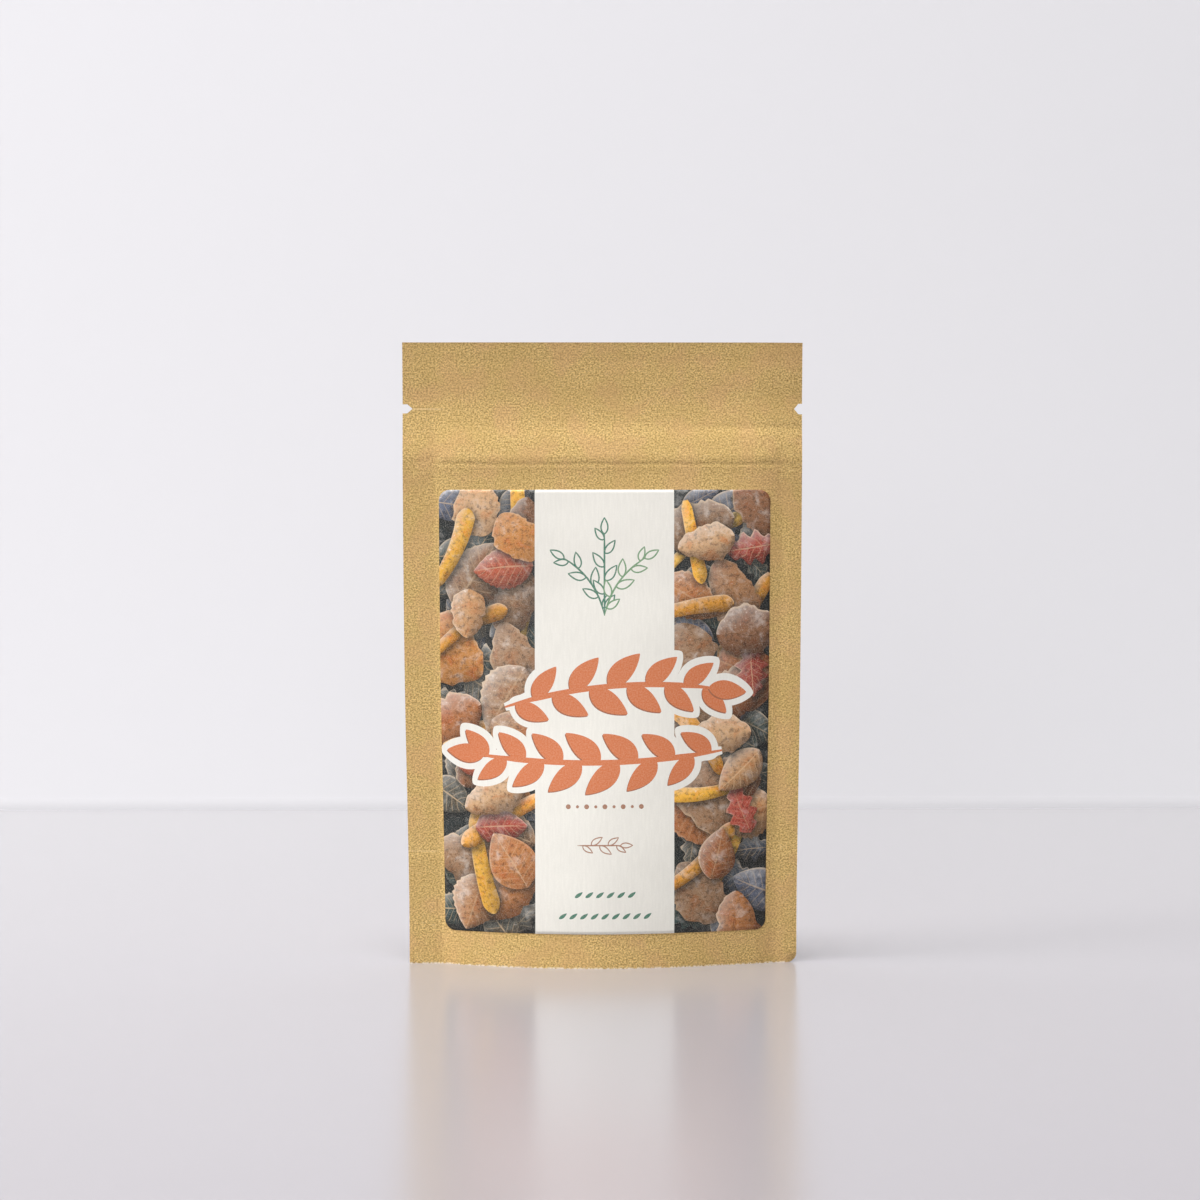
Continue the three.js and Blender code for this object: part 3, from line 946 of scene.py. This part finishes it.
def litter_leaves():
    """Leaves strewn over both side panels, the lower ones first."""
    draw = random.Random(57)
    leaves = []
    for low, high in ((LABEL_LEFT, STRIPE_LEFT), (STRIPE_RIGHT, LABEL_RIGHT)):
        for layer in LITTER:
            leaves += strewn(draw, low, high, *layer)
    return leaves


def sprig(start, end, arch, count, leaf_length, leaf_width, lean, colour):
    """Leaves in turn on both sides of a bent stem and one at its tip, and the stem as a function."""
    start = np.array(start, float)
    run = np.array(end, float) - start
    angle = math.atan2(run[1], run[0])
    aside = np.array([-math.sin(angle), math.cos(angle)])

    def at(share):
        return start + run * share + aside * arch * 4 * share * (1 - share)

    def add_leaf(share, ahead, side, size):
        angle = math.atan2(ahead[1], ahead[0]) + side * lean
        length, width = leaf_length * size, leaf_width * size
        leaves.append(Leaf(at(share), angle, length, width, side * -0.12, "beech", colour))

    leaves = []
    for k in range(count):
        share = (k + 0.6) / (count + 0.2)
        size = 1 - 0.25 * abs(2 * share - 0.9)
        add_leaf(share, at(share + 0.01) - at(share - 0.01), 1 if k % 2 else -1, size)
    add_leaf(0.97, at(1) - at(0.97), 0, 0.85)
    return leaves, at


def stem_outline(at, width):
    """A band of a width along a sprig's stem, with tapered ends."""
    upper = []
    lower = []
    for k in range(STEM_STEPS + 1):
        share = k / STEM_STEPS
        ahead = at(share + 0.01) - at(share - 0.01)
        aside = np.array([-ahead[1], ahead[0]]) / np.hypot(*ahead)
        half = width / 2 * min(1, 0.35 + 4 * min(share, 1 - share))
        upper.append(tuple(at(share) + aside * half))
        lower.append(tuple(at(share) - aside * half))
    return upper + lower[::-1]


def label_outline():
    """The label's outline, with rounded corners."""
    corners = [
        (LABEL_RIGHT, LABEL_BOTTOM, -90), (LABEL_RIGHT, LABEL_TOP, 0),
        (LABEL_LEFT, LABEL_TOP, 90), (LABEL_LEFT, LABEL_BOTTOM, 180),
    ]
    ring = []
    for x, y, start in corners:
        centre_x = x - math.copysign(LABEL_RADIUS, x)
        centre_y = y - math.copysign(LABEL_RADIUS, y - LABEL_MIDDLE)
        ring += arc((centre_x, centre_y), LABEL_RADIUS, start, start + 90, 8)
    return ring


def stripe_outline():
    """The plain stripe, a little longer than the label at both ends."""
    low = LABEL_BOTTOM - 2
    high = LABEL_TOP + 2
    return [(STRIPE_LEFT, low), (STRIPE_RIGHT, low), (STRIPE_RIGHT, high), (STRIPE_LEFT, high)]


def paper(outline):
    return (outline, "paper", None, None)


def inked(outline, colour):
    return (outline, "ink", colour, None)


def lined(leaves, width):
    """The layers of leaves drawn as lines: each leaf in ink, with bare paper inside."""
    layers = []
    for leaf in leaves:
        layers += [inked(leaf.outline(20), leaf.colour), paper(leaf.outline(20, -width))]
    return layers


def garland_layers():
    """Two rows of leaves across the label, on a paper-coloured rim and each on a shadow."""
    upper, upper_stem = sprig((-27, 71), (31, 76), 3.2, 11, 12.5, 6.0, 0.85, TERRACOTTA)
    lower, lower_stem = sprig((33, 59), (-35, 58), 2.6, 13, 12.5, 6.0, 0.85, TERRACOTTA)
    garland = upper + lower
    stems = (upper_stem, lower_stem)
    layers = [paper(leaf.outline(20, 2.0)) for leaf in garland]
    layers += [paper(stem_outline(stem, 6.0)) for stem in stems]
    for leaf in garland:
        outline = leaf.outline(20)
        layers.append(inked([(x - 0.22, y - 0.3) for x, y in outline], TERRACOTTA_SHADE))
        layers.append(inked(outline, TERRACOTTA))
    return layers + [inked(stem_outline(stem, 1.5), TERRACOTTA) for stem in stems]


def stripe_layers():
    """Line-drawn sprigs, a row of dots and rows of small leaves down the stripe."""
    layers = []
    twigs = [(-11.5, 112, -2.2, GREEN), (0, 119, 0.0, GREEN), (11.5, 112, 2.2, PALE_GREEN)]
    for across, height, arch, colour in twigs:
        tip = (STRIPE_MIDDLE + across, height)
        leaves, stem = sprig((STRIPE_MIDDLE, 96), tip, arch, 6, 5.6, 2.7, 0.8, colour)
        layers += [inked(stem_outline(stem, 0.5), colour)] + lined(leaves, 0.42)
    for k in range(9):
        centre = (STRIPE_MIDDLE + (k - 4) * 2.5, 44)
        layers.append(inked(arc(centre, 0.42 if k % 2 else 0.66, 0, 345, 23), BROWN_INK))
    start = (STRIPE_MIDDLE - 7.5, 33.5)
    leaves, stem = sprig(start, (STRIPE_MIDDLE + 4.5, 33.5), 0.0, 5, 4.2, 1.9, 0.75, BROWN_INK)
    layers += [inked(stem_outline(stem, 0.35), BROWN_INK)] + lined(leaves, 0.32)
    for height, count in ((19.4, 6), (13.6, 9)):
        for k in range(count):
            foot = (STRIPE_MIDDLE + (k - (count - 1) / 2) * 2.9 - 1.0, height)
            small = Leaf(foot, 0.5, 2.6, 0.95, 0.1, "beech", GREEN)
            layers.append(inked(small.outline(12), GREEN))
    return layers


def label_print():
    """The print as a list of (outline, kind, colour, leaf), the lowest first."""
    layers = [(label_outline(), "ground", GROUND, None)]
    layers += [(leaf.outline(), "picture", leaf.colour, leaf) for leaf in litter_leaves()]
    return layers + [paper(stripe_outline())] + garland_layers() + stripe_layers()


def label_paper_material(name, tone):
    """Smooth label paper with faint streaks."""
    n = Surface(name, 0.5, 0.4)
    where = n.flat()
    streaks = n.noise(n.scaled(where, (1.0, 0.12, 1.0)), 1.6, 2.0, 0.6)
    fine = n.noise(where, 2.2, 3.0, 0.65)
    colour = n.blend(n.ramp(streaks, 0.3, 0.7), linear(*[part - 6 for part in tone]), linear(*tone))
    colour = n.layer(colour, linear(*[part - 9 for part in tone]), fine, 0.3, 0.7, 0.5)
    return n.done(colour, fine, PRINT_GRAIN, 0.5)


def ink_material():
    """Flat printed colour, a little uneven, with the paper's grain in it."""
    n = Surface("printed_ink", 0.5, 0.4)
    fine = n.noise(n.flat(), 2.4, 3.0, 0.65)
    colour = n.layer(n.attribute("ink"), linear(240, 214, 190), fine, 0.3, 0.75, 0.2)
    return n.done(colour, fine, PRINT_GRAIN, 0.5)


def picture_material():
    """The printed leaves: blotched colour, a pale midrib and side veins, rims and shadows."""
    n = Surface("printed_picture", 0.45, 0.4)
    where = n.flat()
    along, across, veined = n.split(n.attribute("leaf"))
    shade, lit, wet = n.split(n.attribute("shade"))
    blotch = n.noise(where, 0.22, 4.0, 0.6, 0.5)
    mottle = n.noise(where, 0.8, 4.0, 0.72)
    grain = n.noise(where, 3.2, 2.0, 0.6)
    side = n.size(across)
    pale = (1.0, 0.96, 0.9, 1)
    dark = (0.22, 0.2, 0.2, 1)
    warm = (1.0, 0.62, 0.32, 1)
    in_shadow = (0.035, 0.05, 0.055, 1)
    colour = n.attribute("ink")
    for source, deep, deepened, lightened in (
        (blotch, warm, (0.5, 0.3, 0.75), (0.52, 0.72, 0.3)),
        (mottle, dark, (0.52, 0.34, 0.7), (0.55, 0.75, 0.22)),
        (lit, dark, (0.1, -0.8, 0.85), (0.0, 0.9, 0.3)),
    ):
        colour = n.layer(colour, deep, source, *deepened, "MULTIPLY")
        colour = n.layer(colour, pale, source, *lightened)
    rib = n.ramp(side, 0.06, 0.015)
    slant = n.minus(n.times(along, 8.0), n.times(side, 1.5))
    wave = n.math("SINE", n.times(slant, 2 * math.pi))
    veins = n.times(n.ramp(wave, 0.75, 1.0, 0.0, 0.5), n.ramp(side, 1.0, 0.7))
    lines = n.times(n.math("MAXIMUM", rib, veins), veined)
    colour = n.blend(n.times(lines, 0.6), colour, linear(232, 200, 160))
    rim_line = n.times(n.ramp(side, 0.86, 0.97), n.ramp(lit, -0.3, 0.5))
    colour = n.blend(n.times(rim_line, 0.45), colour, linear(240, 214, 180))
    gloss = n.times(n.ramp(mottle, 0.56, 0.68), n.times(n.ramp(lit, 0.1, 0.5), wet))
    colour = n.blend(n.times(gloss, 0.7), colour, linear(250, 238, 224))
    colour = n.blend(shade, colour, in_shadow, "MULTIPLY")
    colour = n.layer(colour, linear(214, 204, 190), grain, 0.45, 0.7, 0.16)
    return n.done(colour, grain, PRINT_GRAIN, 0.5)


def shadow_on(points, above):
    """How dark points are in the shadow of the leaves above them."""
    dark = np.zeros(len(points))
    for leaf in above:
        near = np.hypot(*(points - leaf.foot).T) < leaf.length + SHADOW_REACH
        if not near.any():
            continue
        along, across, half = leaf.local(points[near] + np.array(SHADOW_SHIFT))
        aside = np.maximum(abs(across) - 1, 0) * half
        beyond = np.maximum(np.maximum(-along, along - 1), 0) * leaf.length
        cover = SHADOW_DARK * np.exp(-np.hypot(aside, beyond) / SHADOW_SOFT)
        dark[near] = np.maximum(dark[near], cover)
    return dark


def print_data(layers, corners, tops):
    """What the print's materials read at each triangle's corners, as vectors.

    ink is the colour; leaf is (share along, share across, strength of the veins); shade is
    (darkness in shadow, turn to the light, gloss).
    """
    data = {key: np.zeros(corners.shape[:2] + (3,)) for key in ("ink", "leaf", "shade")}
    leaves = [layer[3] for layer in layers if layer[1] == "picture"]
    for number in np.unique(tops):
        _, kind, colour, leaf = layers[number]
        chosen = np.nonzero(tops == number)[0]
        draw = random.Random(int(number))
        tint = np.array(linear(*colour)[:3] if colour else (0, 0, 0))
        data["ink"][chosen] = tint * (draw.uniform(0.85, 1.15) if kind == "picture" else 1)
        if kind not in ("ground", "picture"):
            continue
        points = corners[chosen].reshape(-1, 2)
        lit = np.full(len(points), -0.3)
        if leaf is not None:
            along, across, _ = leaf.local(points)
            lit = leaf.lit(along, across)
            veins = (0.35, 1) if leaf.kind in ("beech", "birch", "oak") else (0, 0.25)
            values = np.stack([along, across, np.full_like(along, draw.uniform(*veins))], 1)
            data["leaf"][chosen] = values.reshape(-1, 3, 3)
        wet = np.full(len(points), draw.uniform(0, 1))
        # the picture's leaves are layers 1 and up, so the leaves above layer k begin at leaf k
        values = np.stack([shadow_on(points, leaves[number:]), lit, wet], 1)
        data["shade"][chosen] = values.reshape(-1, 3, 3)
    return data


def make_label():
    """The printed label: its triangles follow the print's outlines."""
    layers = label_print()
    flat, triangles, owners = triangulate([layer[0] for layer in layers], 1.0)
    tops = np.array([max(owner) for owner in owners])
    slots = {"ground": 0, "picture": 0, "ink": 1, "paper": 2}
    outer_slots = np.array([slots[layers[number][1]] for number in tops])
    outer = facing(front_at, -1, PAPER / 2 + HAIR + LABEL_PAPER)
    inner = facing(front_at, -1, PAPER / 2 + HAIR)
    mesh = sheet_mesh("printed_label", flat, triangles, outer, inner, (outer_slots, 3, 4))
    for key, values in print_data(layers, flat[triangles], tops).items():
        padded = np.zeros((len(mesh.loops), 3))
        padded[:3 * len(triangles)] = values.reshape(-1, 3)
        layer = mesh.attributes.new(key, "FLOAT_VECTOR", "CORNER")
        layer.data.foreach_set("vector", padded.ravel())
    materials = [
        picture_material(), ink_material(), label_paper_material("label_paper", (239, 236, 227)),
        label_paper_material("label_back", (232, 226, 214)),
        cut_edge_material("label_cut_edge", linear(236, 232, 224), linear(212, 206, 196)),
    ]
    add_piece("printed_label", mesh, materials, "front_label")


def dress_inner_parts():
    """The zip tracks and the powder keep their shapes and get their finish."""
    plastic = plastic_material()
    powder = powder_material()
    finishes = {"zip_track_front": plastic, "zip_track_back": plastic, "mushroom_powder": powder}
    for name, material in finishes.items():
        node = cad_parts[name]
        node.data.materials.clear()
        node.data.materials.append(material)


# The stage, in metres

WALL_DISTANCE = 0.47
WALL_TOP = 1.8
COVE_RADIUS = 0.005
COVE_STEPS = 12
TABLE_FRONT = -1.6
STAGE_HALF = 2.2

# Colours as they go over along an axis (1 is y, 2 is z): (near, far, axis, from, to, power)
# Painted light and shade on the table: darker near the front, lighter towards the wall
TABLE_PAINTED_LIGHT = (linear(157, 153, 157), linear(177, 175, 177), 1, -0.35, 0.45, 1)
# Painted shade on the wall: darker towards the top, where the lamps light it more
WALL_PAINTED_SHADE = (linear(226, 225, 228), linear(217, 216, 219), 2, 0.0, 0.36, 1)
# Painted shade in the cove: the table's colour at the foot, darker than the wall, rising to the wall's
# colour
COVE_PAINTED_SHADE = ((0.435, 0.428, 0.444, 1), linear(226, 225, 228), 2, 0.0, COVE_RADIUS, 1.6)


def stage_material(name, roughness, specular, tone, ripple=0.0):
    """A plain surface that goes over from a faintly clouded colour to a second one."""
    near, far, axis, start, end, power = tone
    n = Surface(name, roughness, specular)
    place = n.place()
    darker = tuple(part * 0.985 for part in near[:3]) + (1,)
    share = n.math("DIVIDE", n.minus(n.split(place)[axis], start), end - start, clamp=True)
    clouded = n.blend(n.noise(place, 1.2, 2.0, 0.5), darker, near)
    colour = n.blend(n.math("POWER", share, power), clouded, far)
    return n.done(colour, n.noise(place, 60) if ripple else None, 0.0002, ripple)


def make_stage():
    """A glossy pale table and a pale wall behind it, joined by a small matte cove; painted light and shade
    grade the colours of all three.
    """
    table = stage_material("pale_table", 0.22, 0.5, TABLE_PAINTED_LIGHT, 0.02)
    cove = stage_material("cove_painted_shade", 1.0, 0.0, COVE_PAINTED_SHADE)
    wall = stage_material("pale_wall", 0.9, 0.1, WALL_PAINTED_SHADE)
    profile = [(TABLE_FRONT, 0.0), (WALL_DISTANCE - COVE_RADIUS, 0.0)]
    profile += arc((WALL_DISTANCE - COVE_RADIUS, COVE_RADIUS), COVE_RADIUS, -90, 0, COVE_STEPS)[1:]
    profile.append((WALL_DISTANCE, WALL_TOP))
    points = [(side * STAGE_HALF, y, z) for y, z in profile for side in (-1, 1)]
    faces = [(2 * k, 2 * k + 1, 2 * k + 3, 2 * k + 2) for k in range(len(profile) - 1)]
    mesh = bpy.data.meshes.new("studio_floor")
    mesh.from_pydata(points, [], faces)
    for material in (table, cove, wall):
        mesh.materials.append(material)
    last = len(mesh.polygons) - 1
    for k, polygon in enumerate(mesh.polygons):
        polygon.material_index = 0 if k == 0 else 2 if k == last else 1
        polygon.use_smooth = 0 < k < last
    mesh.update()
    floor = add_object("studio_floor", mesh)


# The lights, as (name, place, target, size, watts), and the room's own faint light

AREA_LIGHTS = [
    ("top_light", (-0.2, -0.7, 2.7), (0, 0, 0.08), (1.3, 0.9), 82),
    ("left_light", (-2.0, -0.62, 1.45), (0.1, 0.2, 0.2), (1.1, 1.1), 42),
    ("low_fill", (-0.3, -2.0, 0.45), (0, 0, 0.08), (1.2, 0.5), 8),
]
ROOM_COLOUR = (0.97, 0.98, 1.0, 1)
ROOM_STRENGTH = 0.12


def make_lights():
    world = bpy.data.worlds.new("soft_room")
    world.use_nodes = True
    background = world.node_tree.nodes["Background"]
    background.inputs["Color"].default_value = ROOM_COLOUR
    background.inputs["Strength"].default_value = ROOM_STRENGTH
    bpy.context.scene.world = world
    for name, place, target, size, power in AREA_LIGHTS:
        data = bpy.data.lights.new(name, "AREA")
        data.shape = "RECTANGLE"
        data.size, data.size_y = size
        data.energy = power
        light = add_object(name, data)
        light.location = place
        light.rotation_mode = "QUATERNION"
        light.rotation_quaternion = (Vector(target) - Vector(place)).to_track_quat("-Z", "Y")


# The camera, as the photograph was taken: place in millimetres, turns in degrees, image in pixels

CAMERA_PLACE = (-11.2, -750.0, 111.0)
CAMERA_YAW = 0.80
CAMERA_PITCH = 0.82
CAMERA_ROLL = -0.03
FOCAL_PIXELS = 2718.0
IMAGE_SIZE = 1200.0
SENSOR = 36.0


def make_camera():
    data = bpy.data.cameras.new("photo_camera")
    data.sensor_width = SENSOR
    data.lens = FOCAL_PIXELS / IMAGE_SIZE * SENSOR
    data.clip_start = 0.01
    data.clip_end = 20
    yaw = math.radians(CAMERA_YAW)
    pitch = math.radians(CAMERA_PITCH)
    ahead = Vector((math.sin(yaw) * math.cos(pitch), math.cos(yaw) * math.cos(pitch), -math.sin(pitch)))
    right = Vector((math.cos(yaw), -math.sin(yaw), 0))
    up = right.cross(ahead)
    axes = Matrix((right, up, -ahead)).transposed()
    turn = Matrix.Rotation(math.radians(-CAMERA_ROLL), 3, ahead)
    place = Vector(CAMERA_PLACE) * MM
    camera = add_object("photo_camera", data)
    camera.matrix_world = Matrix.LocRotScale(place, (turn @ axes).to_quaternion(), None)
    bpy.context.scene.camera = camera


make_camera()
make_panel("front_panel_paper", "front_panel", front_at, -1, 0.85)
make_panel("back_panel_paper", "back_panel", back_at, 1, 1.0)
make_gusset()
make_label()
dress_inner_parts()
make_stage()
make_lights()
bpy.context.scene.view_settings.view_transform = "Standard"
